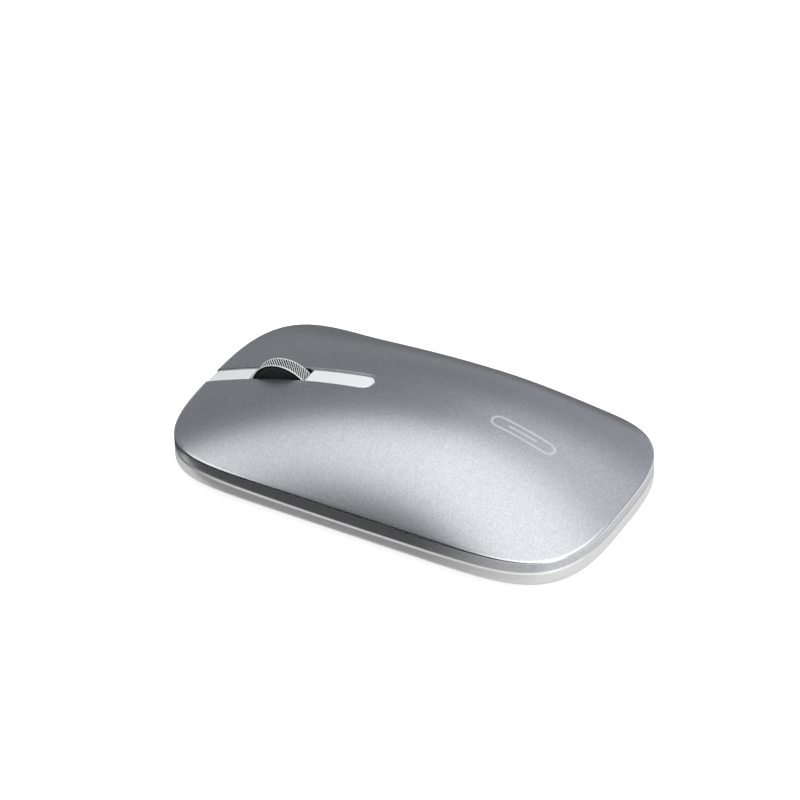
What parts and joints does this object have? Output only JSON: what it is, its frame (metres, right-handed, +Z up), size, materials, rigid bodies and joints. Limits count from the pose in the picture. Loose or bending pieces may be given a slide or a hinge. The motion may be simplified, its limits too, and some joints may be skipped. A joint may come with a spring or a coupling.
{
  "type": "computer mouse",
  "caption": "Slim wireless computer mouse: domed one-piece shell with flexing buttons, knurled metal scroll wheel in a bright centre strip, charging port and stored receiver",
  "frame": {"origin": "middle of the footprint, on the surface that the feet stand on", "axes": "+Y towards the wheel end, +X to the right hand, +Z up"},
  "size_m": [0.0628, 0.11, 0.0239],
  "materials": {
    "satin_shell": "satin metallic grey paint with a fine pearl grain",
    "silver_shell": "smooth glossy silver-white paint",
    "polished_trim": "bright polished silver with a chamfered edge",
    "knurled_metal": "silver metal with a fine diamond knurl",
    "dark_plastic": "dark moulded plastic with a light grain",
    "white_plastic": "off-white moulded plastic",
    "board": "green solder mask with copper traces",
    "steel": "stamped steel",
    "clear_lens": "clear moulded lens",
    "foil": "silver pouch-cell foil",
    "foam": "dark foam tape",
    "red_wire": "red insulated wire",
    "black_wire": "black insulated wire",
    "glide": "smooth dark low-friction foot"
  },
  "bodies": {
    "body": {"bottom_shell": "silver_shell", "top_shell": "satin_shell", "centre_trim": "polished_trim", "wheel_housing": "dark_plastic", "encoder_body": "dark_plastic", "encoder_clip": "steel", "wheel_switch_body": "dark_plastic", "circuit_board": "board", "sensor_chip": "dark_plastic", "sensor_lens": "clear_lens", "control_chip": "dark_plastic", "charger_chip": "dark_plastic", "timing_crystal": "steel", "usb_port_shell": "steel", "usb_port_tongue": "dark_plastic", "left_switch_body": "dark_plastic", "left_switch_cover": "steel", "right_switch_body": "dark_plastic", "right_switch_cover": "steel", "front_screw_left": "steel", "front_screw_right": "steel", "rear_screw_left": "steel", "rear_screw_right": "steel", "front_foot": "glide", "rear_foot": "glide", "battery_pad": "foam", "battery_cell": "foil", "battery_connector": "white_plastic", "battery_lead_red": "red_wire", "battery_lead_black": "black_wire", "power_switch_body": "steel", "mode_switch_body": "steel"},
    "left_button": {"left_button": "satin_shell"},
    "right_button": {"right_button": "satin_shell"},
    "left_plunger": {"left_switch_plunger": "white_plastic"},
    "right_plunger": {"right_switch_plunger": "white_plastic"},
    "wheel_carrier": {"axle_bush": "white_plastic"},
    "wheel": {"wheel_tyre": "knurled_metal", "wheel_hub": "dark_plastic", "wheel_axle": "dark_plastic"},
    "encoder_rotor": {"encoder_rotor": "white_plastic"},
    "wheel_stem": {"wheel_switch_stem": "white_plastic"},
    "power_slider": {"power_slider": "dark_plastic"},
    "mode_button": {"mode_button": "dark_plastic"},
    "receiver": {"receiver_cap": "dark_plastic", "receiver_plug": "steel", "receiver_tongue": "white_plastic"}
  },
  "joints": [
    {"name": "left_click", "type": "hinge", "parent": "body", "child": "left_button", "pos_m": [0, 0.013, 0.015], "axis": [-1, 0, 0], "range_deg": [0, 0.51], "stiffness_Nm_per_rad": 2.2},
    {"name": "left_plunger_travel", "type": "slide", "parent": "body", "child": "left_plunger", "axis": [0, 0, -1], "range_m": [0, 0.00026]},
    {"name": "right_click", "type": "hinge", "parent": "body", "child": "right_button", "pos_m": [0, 0.013, 0.015], "axis": [-1, 0, 0], "range_deg": [0, 0.51], "stiffness_Nm_per_rad": 2.2},
    {"name": "right_plunger_travel", "type": "slide", "parent": "body", "child": "right_plunger", "axis": [0, 0, -1], "range_m": [0, 0.00026]},
    {"name": "wheel_press", "type": "hinge", "parent": "body", "child": "wheel_carrier", "pos_m": [-0.0079, 0.0342, 0.01119], "axis": [0, 1, 0], "range_deg": [0, 1.1], "stiffness_Nm_per_rad": 0.4},
    {"name": "wheel_spin", "type": "hinge", "parent": "wheel_carrier", "child": "wheel", "pos_m": [0, 0.0342, 0.01119], "axis": [1, 0, 0], "continuous": true},
    {"name": "encoder_spin", "type": "hinge", "parent": "body", "child": "encoder_rotor", "pos_m": [-0.0079, 0.0342, 0.01119], "axis": [1, 0, 0], "continuous": true},
    {"name": "wheel_stem_travel", "type": "slide", "parent": "body", "child": "wheel_stem", "axis": [0, 0, -1], "range_m": [0, 0.00034]},
    {"name": "power_switch", "type": "slide", "parent": "body", "child": "power_slider", "axis": [0, 1, 0], "range_m": [0, 0.0024]},
    {"name": "mode_press", "type": "slide", "parent": "body", "child": "mode_button", "axis": [0, 0, 1], "range_m": [0, 0.0003], "stiffness_N_per_m": 2500},
    {"name": "receiver_pull", "type": "slide", "parent": "body", "child": "receiver", "axis": [0, 0, -1], "range_m": [0, 0.012]}
  ],
  "couplings": [
    {"joint": "left_plunger_travel", "follows": "left_click", "m_per_rad": 0.028},
    {"joint": "right_plunger_travel", "follows": "right_click", "m_per_rad": 0.028},
    {"joint": "encoder_spin", "follows": "wheel_spin", "ratio": 1},
    {"joint": "wheel_stem_travel", "follows": "wheel_press", "m_per_rad": 0.0168}
  ]
}
